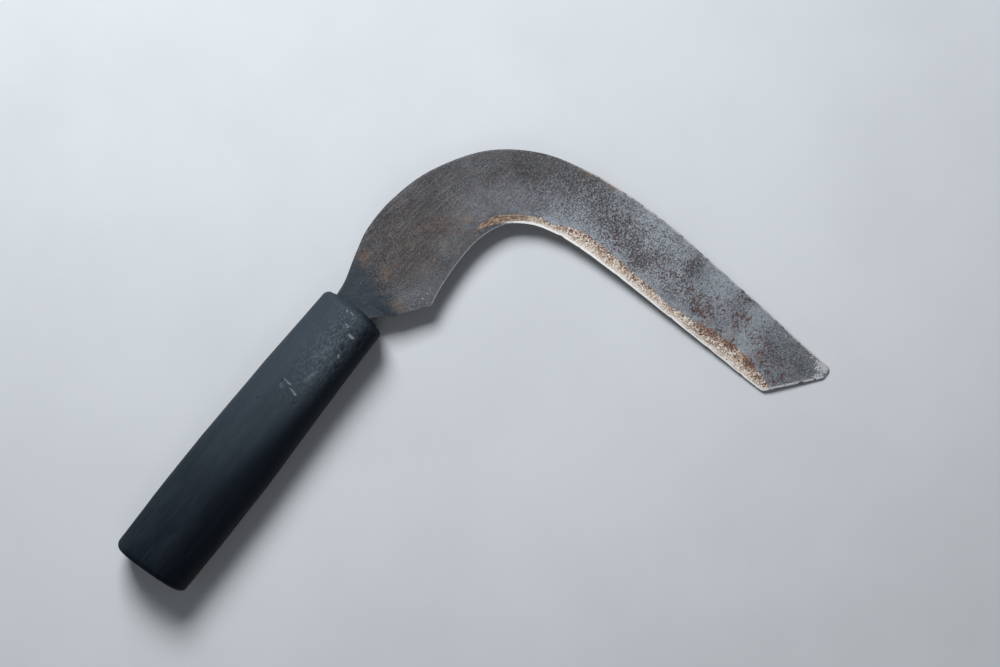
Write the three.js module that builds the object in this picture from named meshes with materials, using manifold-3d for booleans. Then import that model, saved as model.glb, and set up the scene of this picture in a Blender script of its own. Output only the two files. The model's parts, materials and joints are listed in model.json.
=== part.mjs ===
// A hand sickle: a short, strongly hooked blade with a tapered stick tang, set in a plain oval
// wooden grip. The tang is bedded in pitch in a tapered blind bore, and a cross pin near the front
// of the grip locks it there.
//
// Millimetres. Every piece is drawn in the tool frame: +X along the grip from its butt towards the
// blade, +Y to the left, +Z out of the blade's upper face, with the grip's axis as the X axis. The
// whole tool is then turned into the pose in which it lies on a table, on the underside of the grip
// and the tip of the blade. Its origin is the middle of its bounding box, at table height.

import * as THREE from 'three';
import { mergeVertices } from 'three/addons/utils/BufferGeometryUtils.js';
import Module from 'manifold-3d';

const wasm = await Module();
wasm.setup();

const { lerp, clamp } = THREE.MathUtils;

// ---- Driving dimensions: grip ----

const GRIP_LENGTH = 143;          // from the origin of the tool frame to the nose
const BUTT_X = 2.2;               // where the grip's axis meets the butt's flat end
const BUTT_SLANT = 0.045;         // the butt is sawn askew: rise in X for each millimetre to the right
const BUTT_BLEND = 15;            // the skew dies out by this X
const BEND_START = 100;           // from this X on the grip bends to the right,
const GRIP_BEND = 0.8;            // by this much at its front
const GRIP_CORNER = 3;            // rounding of the rims of the butt and of the front
const GRIP_NOSE = 2.4;            // how far the middle of the front stands out past its rim
const GRIP_SQUARENESS = 2.5;      // superellipse exponent: 2 is an ellipse, more is squarer
const GRIP_SIDES = 56;
const GRIP_STATIONS = [           // half width and half height along the grip, from its butt
  { x: 0, width: 17.6, height: 14.3 },
  { x: 28, width: 17.9, height: 13.95 },
  { x: 60, width: 17.7, height: 13.55 },
  { x: GRIP_LENGTH, width: 14.9, height: 12.5 },
];

// ---- Driving dimensions: blade ----

// The tang, from its end to the grip's mouth: its two edges and its thickness.
const TANG_STATIONS = [
  { x: 22, low: -2.6, high: 2.8, thickness: 3.2 },
  { x: 80, low: -4.8, high: 5.4, thickness: 4.4 },
  { x: 130, low: -7.0, high: 8.6, thickness: 4.8 },
];

// The blade in plan. Each station is a line across it, from the inner side (heel, then cutting
// edge) to the spine, with the thickness at each end of that line.
const BLADE_STATIONS = [
  { inner: [142.3, -7.8], spine: [141.2, 9.8], innerThickness: 4.4, spineThickness: 4.4 },
  { inner: [148.2, -14.2], spine: [148.5, 10.8], innerThickness: 2.6, spineThickness: 3.8 },
  { inner: [161.8, -24.6], spine: [160.6, 14.5], innerThickness: 1.4, spineThickness: 3.3 },
  { inner: [169.4, -23.1], spine: [171.6, 16.9], innerThickness: 1.4, spineThickness: 3.1 },
  { inner: [181.8, -22.1], spine: [187.6, 16.3], innerThickness: 1.2, spineThickness: 2.9 },
  { inner: [193.8, -22.5], spine: [206.8, 11.1], innerThickness: 0.9, spineThickness: 2.7 },
  { inner: [205.3, -25.8], spine: [227.6, -1.9], innerThickness: 0.5, spineThickness: 2.6 },
  { inner: [213.3, -33.2], spine: [241.4, -20.9], innerThickness: 0.35, spineThickness: 2.5 },
  { inner: [218, -44.5], spine: [247.9, -42], innerThickness: 0.35, spineThickness: 2.5 },
  { inner: [220.2, -60], spine: [250.4, -61], innerThickness: 0.35, spineThickness: 2.4 },
  { inner: [220.9, -85], spine: [251.4, -85], innerThickness: 0.35, spineThickness: 2.3 },
  { inner: [220.9, -110], spine: [250.1, -110], innerThickness: 0.35, spineThickness: 2.2 },
  { inner: [220.8, -135], spine: [248.8, -135], innerThickness: 0.35, spineThickness: 2 },
  { inner: [220.7, -152], spine: [247.3, -155], innerThickness: 0.35, spineThickness: 1.8 },
  { inner: [220.8, -156.4], spine: [246.5, -168.5], innerThickness: 0.4, spineThickness: 1.5 },
  { inner: [221.2, -157.4], spine: [246, -173.7], innerThickness: 0.6, spineThickness: 1.3 },
  { inner: [222, -158.3], spine: [241.2, -174.3], innerThickness: 0.8, spineThickness: 1.2 },
];
const HEEL_CORNER = 2;            // the station at which the heel turns into the inner edge
const STEPS_PER_STATION = 4;
const SHOULDER_THICKNESS = 0.62;  // at the bevel's shoulder: 0 is the edge's, 1 is the spine's
const BEVEL_WIDTH = 6;
const SPINE_CHAMFER = 0.6;

// ---- Driving dimensions: bore, bedding and pin ----

const GAP = 0.3;                  // between pieces that touch
const BEDDING_WALL = 1.6;
const BEDDING_RECESS = 1.2;       // how far the bedding stops short of the grip's front
const CUTTER_RUN_OUT = 2;         // the bore's cutter goes this far past the grip's front
const PIN_DIAMETER = 5;
const PIN_SIDES = 24;
const PIN_X = 136;
const PIN_Y = 1.2;
const PIN_SUNK = 0.6;             // each end of the pin lies this far under the grip's surface

// ---- Materials ----

const paintedWood = new THREE.MeshStandardMaterial({ color: 0x24292f, roughness: 0.55 });
const forgedSteel = new THREE.MeshStandardMaterial({ color: 0x57504b, roughness: 0.5, metalness: 0.8 });
const setPitch = new THREE.MeshStandardMaterial({ color: 0x15120f, roughness: 0.8 });
const pinSteel = new THREE.MeshStandardMaterial({ color: 0x2b2d30, roughness: 0.6, metalness: 0.6 });

// ---- Geometry helpers ----

// A closed skin over a run of rings. All rings have the same number of points and turn by the
// right-hand rule about the direction of the run. Each end is capped with a fan.
function loft(rings) {
  const count = rings[0].length;
  const points = rings.flat();
  const faces = [];
  for (let r = 0; r + 1 < rings.length; r += 1) {
    for (let i = 0; i < count; i += 1) {
      const a = r * count + i;
      const b = r * count + (i + 1) % count;
      faces.push(a, b, b + count);
      faces.push(a, b + count, a + count);
    }
  }
  const first = points.length;
  const last = (rings.length - 1) * count;
  points.push(ringMiddle(rings[0]), ringMiddle(rings[rings.length - 1]));
  for (let i = 0; i < count; i += 1) {
    const next = (i + 1) % count;
    faces.push(next, i, first);
    faces.push(last + i, last + next, first + 1);
  }
  const geometry = new THREE.BufferGeometry().setFromPoints(points);
  geometry.setIndex(faces);
  geometry.computeVertexNormals();
  return geometry;
}

function ringMiddle(ring) {
  const middle = new THREE.Vector3();
  ring.forEach((point) => middle.addScaledVector(point, 1 / ring.length));
  return middle;
}

function toSolid(geometry) {
  const bare = geometry.clone();
  bare.deleteAttribute('normal');
  bare.deleteAttribute('uv');
  const merged = mergeVertices(bare, 1e-5);
  return new wasm.Manifold(new wasm.Mesh({
    numProp: 3,
    vertProperties: new Float32Array(merged.attributes.position.array),
    triVerts: new Uint32Array(merged.index.array),
  }));
}

function toGeometry(solid) {
  const mesh = solid.getMesh();
  const geometry = new THREE.BufferGeometry();
  geometry.setAttribute('position', new THREE.BufferAttribute(mesh.vertProperties, 3));
  geometry.setIndex(new THREE.BufferAttribute(mesh.triVerts, 1));
  geometry.computeVertexNormals();
  return geometry;
}

// A ring of a flat bar that crosses the tool at x, grown by margin on every side.
function barRing(x, low, high, thickness, margin) {
  const z = thickness / 2 + margin;
  return [
    new THREE.Vector3(x, high + margin, -z),
    new THREE.Vector3(x, high + margin, z),
    new THREE.Vector3(x, low - margin, z),
    new THREE.Vector3(x, low - margin, -z),
  ];
}

// ---- Grip ----

function gripHalfSize(x) {
  const after = GRIP_STATIONS.findIndex((station) => station.x >= x && station.x > 0);
  const from = GRIP_STATIONS[after - 1];
  const to = GRIP_STATIONS[after];
  const part = (x - from.x) / (to.x - from.x);
  return { width: lerp(from.width, to.width, part), height: lerp(from.height, to.height, part) };
}

// The grip's outline at x, drawn in by inset, then skewed at the butt and bent at the front.
function gripRing(x, inset) {
  const half = gripHalfSize(clamp(x, 0, GRIP_LENGTH));
  const power = 2 / GRIP_SQUARENESS;
  const skew = clamp(1 - x / BUTT_BLEND, 0, 1);
  const bend = GRIP_BEND * clamp((x - BEND_START) / (GRIP_LENGTH - BEND_START), 0, 1);
  return Array.from({ length: GRIP_SIDES }, (_, i) => {
    const angle = 2 * Math.PI * i / GRIP_SIDES;
    const across = Math.cos(angle);
    const up = Math.sin(angle);
    const y = Math.sign(across) * Math.abs(across) ** power * (half.width - inset);
    return new THREE.Vector3(
      x + skew * (BUTT_X - BUTT_SLANT * y),
      y - bend,
      Math.sign(up) * Math.abs(up) ** power * (half.height - inset),
    );
  });
}

function gripForm() {
  const rings = [];
  const rimX = GRIP_LENGTH - GRIP_NOSE;
  const cornerSteps = 4;
  const bodySteps = 14;
  const noseSteps = 4;
  for (let i = cornerSteps; i > 0; i -= 1) {
    const turn = Math.PI / 2 * i / cornerSteps;
    rings.push(gripRing(GRIP_CORNER * (1 - Math.sin(turn)), GRIP_CORNER * (1 - Math.cos(turn))));
  }
  for (let i = 0; i <= bodySteps; i += 1) {
    rings.push(gripRing(lerp(GRIP_CORNER, rimX - GRIP_CORNER, i / bodySteps), 0));
  }
  for (let i = 1; i <= cornerSteps; i += 1) {
    const turn = Math.PI / 2 * i / cornerSteps;
    const x = rimX - GRIP_CORNER * (1 - Math.sin(turn));
    rings.push(gripRing(x, GRIP_CORNER * (1 - Math.cos(turn))));
  }
  // The nose is a shallow dome from the rim up to the middle of the front.
  const noseReach = gripHalfSize(rimX).height - GRIP_CORNER;
  for (let i = 1; i < noseSteps; i += 1) {
    const part = i / noseSteps;
    const rise = GRIP_NOSE * (1 - (1 - part) ** 2);
    rings.push(gripRing(rimX + rise, GRIP_CORNER + noseReach * part));
  }
  return loft(rings);
}

// ---- Blade ----

const planPoint = ([x, y]) => new THREE.Vector2(x, y);
const lastStation = BLADE_STATIONS.length - 1;
const spineCurve = new THREE.SplineCurve(BLADE_STATIONS.map((station) => planPoint(station.spine)));
const edgeCurve = new THREE.SplineCurve(
  BLADE_STATIONS.slice(HEEL_CORNER).map((station) => planPoint(station.inner)),
);

// The inner side at u, counted in stations: straight along the heel, then curved along the edge.
function innerPoint(u) {
  if (u >= HEEL_CORNER) return edgeCurve.getPoint((u - HEEL_CORNER) / (lastStation - HEEL_CORNER));
  const from = planPoint(BLADE_STATIONS[Math.floor(u)].inner);
  return from.lerp(planPoint(BLADE_STATIONS[Math.floor(u) + 1].inner), u % 1);
}

// A section across the blade at u, counted in stations. The upper face falls from the spine to the
// shoulder and then, as the bevel, to the edge; the lower face runs flat from the shoulder on.
function bladeRing(u) {
  const inner = innerPoint(u);
  const spine = spineCurve.getPoint(u / lastStation);
  const from = BLADE_STATIONS[Math.floor(u)];
  const to = BLADE_STATIONS[Math.min(Math.floor(u) + 1, lastStation)];
  const innerThickness = lerp(from.innerThickness, to.innerThickness, u % 1);
  const spineThickness = lerp(from.spineThickness, to.spineThickness, u % 1);
  const shoulder = lerp(innerThickness, spineThickness, SHOULDER_THICKNESS) / 2;
  const width = inner.distanceTo(spine);
  const at = (distance, z) => {
    const point = inner.clone().lerp(spine, distance / width);
    return new THREE.Vector3(point.x, point.y, z);
  };
  return [
    at(width, SPINE_CHAMFER - spineThickness / 2),
    at(width, spineThickness / 2 - SPINE_CHAMFER),
    at(width - SPINE_CHAMFER, spineThickness / 2),
    at(BEVEL_WIDTH, shoulder),
    at(0, innerThickness - shoulder),
    at(0, -shoulder),
    at(BEVEL_WIDTH, -shoulder),
    at(width - SPINE_CHAMFER, -spineThickness / 2),
  ];
}

// A tang section with the same eight points as a blade section.
function tangRing({ x, low, high, thickness }) {
  const z = thickness / 2;
  const quarter = (high - low) / 4;
  return [
    [high, -z],
    [high, z],
    [high - quarter, z],
    [low + quarter, z],
    [low, z],
    [low, -z],
    [low + quarter, -z],
    [high - quarter, -z],
  ].map(([y, height]) => new THREE.Vector3(x, y, height));
}

function bladeForm() {
  const rings = TANG_STATIONS.map(tangRing);
  const steps = lastStation * STEPS_PER_STATION;
  for (let i = 0; i <= steps; i += 1) rings.push(bladeRing(i / STEPS_PER_STATION));
  return loft(rings);
}

// ---- Bore, bedding and pin ----

// The tang's form grown by margin, on to frontX.
function tangForm(margin, frontX) {
  const rings = TANG_STATIONS.map(({ x, low, high, thickness }, index) => (
    barRing(index === 0 ? x - margin : x, low, high, thickness, margin)
  ));
  const mouth = TANG_STATIONS[TANG_STATIONS.length - 1];
  const neck = BLADE_STATIONS[0];
  const reach = (frontX - mouth.x) / (neck.inner[0] - mouth.x);
  rings.push(barRing(
    frontX,
    lerp(mouth.low, neck.inner[1], reach),
    lerp(mouth.high, neck.spine[1], reach),
    mouth.thickness,
    margin,
  ));
  return loft(rings);
}

// A round bar along Z where the cross pin goes.
function pinForm(radius, halfLength) {
  const bar = new THREE.CylinderGeometry(radius, radius, 2 * halfLength, PIN_SIDES);
  bar.rotateX(Math.PI / 2);
  bar.translate(PIN_X, PIN_Y, 0);
  return bar;
}

const boreMargin = BEDDING_WALL + 2 * GAP;
const mouthX = GRIP_LENGTH - BEDDING_RECESS;
const pastFront = GRIP_LENGTH + CUTTER_RUN_OUT;
const pinRadius = PIN_DIAMETER / 2;
const pinHalfLength = gripHalfSize(PIN_X).height - PIN_SUNK;
const pinHole = toSolid(pinForm(pinRadius + GAP, 2 * pinHalfLength));

function bladeSolid() {
  return toSolid(bladeForm()).subtract(pinHole);
}

function gripSolid() {
  const bore = toSolid(tangForm(boreMargin, pastFront));
  return toSolid(gripForm()).subtract(bore).subtract(pinHole);
}

function beddingSolid() {
  const outside = toSolid(tangForm(boreMargin - GAP, mouthX));
  const room = toSolid(tangForm(GAP, pastFront));
  return outside.subtract(room).subtract(pinHole);
}

// ---- Assembly ----

function named(name, geometry, material) {
  const mesh = new THREE.Mesh(geometry, material);
  mesh.name = name;
  return mesh;
}

const blade = named('blade', toGeometry(bladeSolid()), forgedSteel);
const handle = named('handle', toGeometry(gripSolid()), paintedWood);
const bedding = named('tang_bedding', toGeometry(beddingSolid()), setPitch);
const pin = named('tang_pin', pinForm(pinRadius, pinHalfLength), pinSteel);

const tool = new THREE.Group();
tool.add(blade, handle, bedding, pin);

// The lowest height of a mesh over the part of it that lies between two places along axis.
function lowest(mesh, axis, from, to) {
  const position = mesh.geometry.attributes.position;
  const point = new THREE.Vector3();
  let height = Infinity;
  for (let i = 0; i < position.count; i += 1) {
    point.fromBufferAttribute(position, i);
    if (point[axis] < from || point[axis] > to) continue;
    height = Math.min(height, point.applyMatrix4(tool.matrix).z);
  }
  return height;
}

// Roll the tool about the grip and pitch it until the grip's underside touches the table at both
// ends and the blade's tip touches it too.
function layDown() {
  const middle = GRIP_LENGTH / 2;
  const reach = Math.abs(BLADE_STATIONS[lastStation].spine[1]);
  tool.rotation.order = 'YXZ';
  for (let pass = 0; pass < 60; pass += 1) {
    tool.updateMatrix();
    const butt = lowest(handle, 'x', 0, middle);
    const front = lowest(handle, 'x', middle, GRIP_LENGTH);
    const tip = lowest(blade, 'y', -Infinity, -reach / 2);
    tool.rotation.y += (front - butt) / GRIP_LENGTH;
    tool.rotation.x += (tip - front) / reach;
  }
}

layDown();
const extent = new THREE.Box3().setFromObject(tool, true);
const centre = extent.getCenter(new THREE.Vector3());
tool.position.set(-centre.x, -centre.y, -extent.min.z);

const sickle = new THREE.Group();
sickle.add(tool);

export default sickle;
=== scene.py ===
"""The looks of the hand sickle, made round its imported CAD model.

The four CAD pieces are replaced by finely modelled ones of the same size. Every piece is drawn in
the tool frame, in millimetres: X along the grip from its butt towards the blade, Y to the left, and
Z out of the blade's upper face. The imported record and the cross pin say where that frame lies.
"""

import json
import math
from functools import partialmethod

import bpy
import numpy as np
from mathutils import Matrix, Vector


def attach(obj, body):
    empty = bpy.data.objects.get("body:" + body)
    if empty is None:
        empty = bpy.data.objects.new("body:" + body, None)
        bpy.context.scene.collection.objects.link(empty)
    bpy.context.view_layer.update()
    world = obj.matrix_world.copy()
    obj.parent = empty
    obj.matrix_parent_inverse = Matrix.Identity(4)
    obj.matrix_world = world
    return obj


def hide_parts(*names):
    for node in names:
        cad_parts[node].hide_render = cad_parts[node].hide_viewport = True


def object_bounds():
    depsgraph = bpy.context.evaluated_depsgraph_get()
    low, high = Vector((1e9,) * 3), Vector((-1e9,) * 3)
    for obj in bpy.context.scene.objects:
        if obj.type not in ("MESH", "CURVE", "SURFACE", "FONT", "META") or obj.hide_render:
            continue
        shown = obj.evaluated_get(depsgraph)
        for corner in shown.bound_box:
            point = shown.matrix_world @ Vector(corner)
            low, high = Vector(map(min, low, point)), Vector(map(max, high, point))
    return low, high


MM = 0.001
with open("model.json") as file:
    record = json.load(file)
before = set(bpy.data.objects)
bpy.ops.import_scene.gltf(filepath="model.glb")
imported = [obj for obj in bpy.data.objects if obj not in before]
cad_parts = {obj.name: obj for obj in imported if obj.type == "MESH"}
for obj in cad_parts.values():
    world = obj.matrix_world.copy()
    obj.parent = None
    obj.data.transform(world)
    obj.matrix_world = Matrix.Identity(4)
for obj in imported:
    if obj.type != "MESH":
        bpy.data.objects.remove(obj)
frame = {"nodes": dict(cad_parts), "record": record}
cad_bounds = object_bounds()

# ---- Driving dimensions, as in the CAD model, in millimetres ----

GRIP_LENGTH = 143
BUTT_X = 2.2  # where the sawn butt crosses the grip's axis
BUTT_SLANT = 0.045  # how askew it is sawn, as a slope
BUTT_BLEND = 15  # the stretch of grip that is squeezed up to meet it
BEND_START = 100  # from here on the grip leans to the right
GRIP_BEND = 0.8  # by how much it leans at its front
GRIP_MOUNT_X = 60  # the place of the record's mount on the grip
GRIP_CORNER = 3
GRIP_NOSE = 2.4
GRIP_SQUARENESS = 2.5
GRIP_STATIONS = np.array([  # x, half width, half height
    (0, 17.6, 14.3),
    (28, 17.9, 13.95),
    (60, 17.7, 13.55),
    (GRIP_LENGTH, 14.9, 12.5),
])
TANG_STATIONS = np.array([  # x, lower edge, upper edge, thickness
    (22, -2.6, 2.8, 3.2),
    (80, -4.8, 5.4, 4.4),
    (130, -7.0, 8.6, 4.8),
])
BLADE_STATIONS = np.array([  # inner side x, y, spine x, y, thickness at each
    (142.3, -7.8, 141.2, 9.8, 4.4, 4.4),
    (148.2, -14.2, 148.5, 10.8, 2.6, 3.8),
    (161.8, -24.6, 160.6, 14.5, 1.4, 3.3),
    (169.4, -23.1, 171.6, 16.9, 1.4, 3.1),
    (181.8, -22.1, 187.6, 16.3, 1.2, 2.9),
    (193.8, -22.5, 206.8, 11.1, 0.9, 2.7),
    (205.3, -25.8, 227.6, -1.9, 0.5, 2.6),
    (213.3, -33.2, 241.4, -20.9, 0.35, 2.5),
    (218, -44.5, 247.9, -42, 0.35, 2.5),
    (220.2, -60, 250.4, -61, 0.35, 2.4),
    (220.9, -85, 251.4, -85, 0.35, 2.3),
    (220.9, -110, 250.1, -110, 0.35, 2.2),
    (220.8, -135, 248.8, -135, 0.35, 2),
    (220.7, -152, 247.3, -155, 0.35, 1.8),
    (220.8, -156.4, 246.5, -168.5, 0.4, 1.5),
    (221.2, -157.4, 246, -173.7, 0.6, 1.3),
    (222, -158.3, 241.2, -174.3, 0.8, 1.2),
])
HEEL_CORNER = 2  # the station where the straight heel ends
LAST_STATION = len(BLADE_STATIONS) - 1
SHOULDER_THICKNESS = 0.62  # beside the bevel, from the edge's thickness (0) to the spine's (1)
BEVEL_WIDTH = 6
GAP = 0.3
BEDDING_WALL = 1.6
BEDDING_RECESS = 1.2
PIN_RADIUS = 2.5
PIN_X = 136
PIN_Y = 1.2
PIN_SUNK = 0.6
PIN_HOLE_RADIUS = PIN_RADIUS + 0.03
DRILL_REACH = 30  # well past the grip's skin, above and below

# The ground bevel of the cutting edge: its width at places counted in blade stations. Before the
# first of them the inner side is blunt.
BEVEL_BAND = np.array([
    (5.15, 4.3), (5.5, 4.9), (5.8, 5.0), (6.3, 4.3), (6.9, 3.8), (8, 3.5), (8.7, 6.5), (9.4, 6.1),
    (10.2, 5.2), (10.7, 3.7), (11.1, 5.0), (11.6, 7.2), (12.3, 7.6), (12.8, 5.8), (13.9, 3.4),
    (LAST_STATION, 2.0),
])
GRIND_RUN_IN = 0.5  # stations over which the grind comes to its full angle

# Where the grind starts it stays off the inner side: the width left dark, by blade stations.
DARK_EDGE = np.array([(5.15, 4.2), (5.8, 2.0), (6.3, 0.8), (6.9, 0)])

# How far the grip's paint ran on to the neck: y, x.
PAINT_EDGE = np.array([(-13, 149.6), (0, 154), (13, 155.7)])


# ---- The tool frame in the row frame ----

def unit(vector):
    return vector / np.linalg.norm(vector)


def rows_of(thing):
    """The points of an object's mesh, in row metres."""
    rows = np.empty(len(thing.data.vertices) * 3)
    thing.data.vertices.foreach_get("co", rows)
    return rows.reshape(-1, 3)


def find_tool_frame():
    """The tool frame's origin and its axes as columns. The grip's mount lies on its X axis, and the
    cross pin stands along its Z."""
    grip = next(mount for mount in frame["record"]["mounts"] if mount["name"] == "grip")
    along = unit(-np.array(grip["axis"]))
    pin = rows_of(frame["nodes"]["tang_pin"])
    above = pin[:, 2] > pin[:, 2].mean()
    out = pin[above].mean(0) - pin[~above].mean(0)
    out = unit(out - along * (out @ along))
    origin = np.array(grip["pos_m"]) - along * GRIP_MOUNT_X * MM
    return origin, np.column_stack((along, np.cross(out, along), out))


TOOL_ORIGIN, TOOL_AXES = find_tool_frame()


def to_row(points):
    return TOOL_ORIGIN + points * MM @ TOOL_AXES.T


def to_tool(rows):
    return (rows - TOOL_ORIGIN) @ TOOL_AXES / MM


# ---- Noise and curves ----

rng = np.random.default_rng(11)
SHUFFLE = np.tile(rng.permutation(256), 2)
SLOPES = rng.normal(size=(256, 3))
SLOPES /= np.linalg.norm(SLOPES, axis=1)[:, None]


def noise(points, size, seed=0):
    """Smooth random bumps about size apart, from about -1 to 1. Points have shape (..., 3)."""
    place = np.asarray(points, float) / size + seed * 17.31
    cell = np.floor(place).astype(int)
    part = place - cell
    ease = part**3 * (part * (part * 6 - 15) + 10)
    total = 0
    for corner in np.ndindex(2, 2, 2):
        x, y, z = np.moveaxis((cell + corner) & 255, -1, 0)
        slope = SLOPES[SHUFFLE[SHUFFLE[SHUFFLE[x] + y] + z]]
        weight = np.prod(np.where(corner, ease, 1 - ease), axis=-1)
        total = total + weight * ((part - corner) * slope).sum(-1)
    return total * 1.7


def layered(points, size, layers, seed=0):
    """Noise with finer and finer layers on top, each half as big and half as strong."""
    return sum(noise(points, size / 2**k, seed + k) / 2**k for k in range(layers))


def smooth_step(value, low, high):
    part = np.clip((value - low) / (high - low), 0, 1)
    return part * part * (3 - 2 * part)


def smooth_min(a, b, softness):
    part = np.clip(0.5 + 0.5 * (b - a) / softness, 0, 1)
    return b + (a - b) * part - softness * part * (1 - part)


def spline(points, u):
    """Catmull-Rom curve through points, at u counted in points."""
    points = np.asarray(points, float)
    last = len(points) - 1
    start = np.clip(u.astype(int), 0, last - 1)
    t = (u - start)[:, None]
    before, here, after, beyond = (points[np.clip(start + k, 0, last)] for k in (-1, 0, 1, 2))
    leave = (after - before) / 2
    arrive = (beyond - here) / 2
    cubic = 2 * (here - after) + leave + arrive
    square = 3 * (after - here) - 2 * leave - arrive
    return ((cubic * t + square) * t + leave) * t + here


def stacked(*columns):
    return np.stack(np.broadcast_arrays(*columns), axis=-1)


def look_up(table, place, column=1):
    """A column of a table, read at places along its first column."""
    return np.interp(place, table[:, 0], table[:, column])


def joined(*parts, axis=0):
    return np.concatenate(parts, axis)


def lengths(line):
    """How far along a line each of its points lies."""
    return np.cumsum(np.linalg.norm(np.diff(line, axis=0, prepend=line[:1]), axis=1))


def turns(count):
    """Angles that go once round in even steps."""
    return np.arange(count) * 2 * np.pi / count


# ---- Meshes ----

CREASE = 35  # degrees


def skin(rings):
    """Points and faces of a closed skin over rings of shape (rings, points round, 3)."""
    count, around = rings.shape[:2]
    points = joined(rings.reshape(-1, 3), rings[:1].mean(1), rings[-1:].mean(1))
    ring, place = np.meshgrid(np.arange(count - 1), np.arange(around), indexing="ij")
    a = (ring * around + place).ravel()
    b = (ring * around + (place + 1) % around).ravel()
    faces = np.column_stack((a, b, b + around, a + around)).tolist()
    end = (count - 1) * around
    for i in range(around):
        after = (i + 1) % around
        faces.append([after, i, count * around])
        faces.append([end + i, end + after, count * around + 1])
    return points, faces


def add_object(name, data):
    made = bpy.data.objects.new(name, data)
    bpy.context.scene.collection.objects.link(made)
    return made


def make_piece(name, points, faces):
    """An object from points in tool millimetres, with its faces turned outwards."""
    mesh = bpy.data.meshes.new(name)
    mesh.from_pydata(to_row(points).tolist(), [], faces)
    corners = points[np.array([face[:3] for face in faces])]
    size = np.einsum("ij,ij->i", corners[:, 0], np.cross(corners[:, 1], corners[:, 2])).sum()
    if size < 0:
        mesh.flip_normals()
    return add_object(name, mesh)


def pin_ring(around, radius, z):
    """A circle of points round the cross pin's axis, at the height z."""
    turn = turns(around)
    return stacked(PIN_X + radius * np.cos(turn), PIN_Y + radius * np.sin(turn), z)


def drill(piece):
    """Cuts the hole for the cross pin through a piece."""
    ends = (-DRILL_REACH, DRILL_REACH)
    bit = make_piece("bit", *skin(np.stack([pin_ring(96, PIN_HOLE_RADIUS, z) for z in ends])))
    cut = piece.modifiers.new("pin_hole", "BOOLEAN")
    cut.operation = "DIFFERENCE"
    cut.solver = "MANIFOLD"
    cut.object = bit
    result = piece.evaluated_get(bpy.context.evaluated_depsgraph_get())
    mesh = bpy.data.meshes.new_from_object(result)
    piece.modifiers.clear()
    piece.data = mesh
    bpy.data.objects.remove(bit)


def points_of(piece):
    return to_tool(rows_of(piece))


def give(piece, **fields):
    """Stores numbers or vectors, one for each point, for the material to read."""
    for name, values in fields.items():
        values = np.asarray(values, np.float32)
        kind, key = ("FLOAT", "value") if values.ndim == 1 else ("FLOAT_VECTOR", "vector")
        attribute = piece.data.attributes.new(name, kind, "POINT")
        attribute.data.foreach_set(key, values.ravel())


def finish_piece(piece, node, material):
    """Shades a piece smooth up to a crease and puts it in its CAD node's place. Nothing may sink
    into the surface on which the sickle lies."""
    rows = rows_of(piece)
    rows[:, 2] = np.maximum(rows[:, 2], 0)
    piece.data.vertices.foreach_set("co", rows.ravel())
    piece.data.polygons.foreach_set("use_smooth", [True] * len(piece.data.polygons))
    piece.data.set_sharp_from_angle(angle=math.radians(CREASE))
    piece.data.materials.clear()
    piece.data.materials.append(material)
    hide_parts(node)
    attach(piece, "root")


# ---- Blade ----

FACE_POINTS = 72
CORNER_POINTS = 5
WALL_POINTS = 3
RING_STEP = 0.52
END_STEP = 0.12
END_REACH = 0.9
SPINE_ROUNDING = 0.55
EDGE_ROUNDING = 0.35
END_ROUNDING = 0.45
END_THINNING = 0.8
GRIND_SLOPE = 0.2
BLUNT_BLEND = 0.5  # how softly the bevel meets the crown, where it is blunt
GROUND_BLEND = 0.04  # and where it is ground
CROWN_POWER = 1.7

# Worn nicks in the inner edge: place in blade stations, depth and half length.
EDGE_NICKS = [
    (0.82, 1.9, 0.8), (6.4, 0.15, 1.6), (8.35, 0.3, 1.0), (8.9, 0.2, 0.7), (9.75, 0.15, 1.4),
    (10.9, 0.2, 0.8), (11.7, 0.25, 1.8), (12.55, 0.2, 0.9),
]

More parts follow.
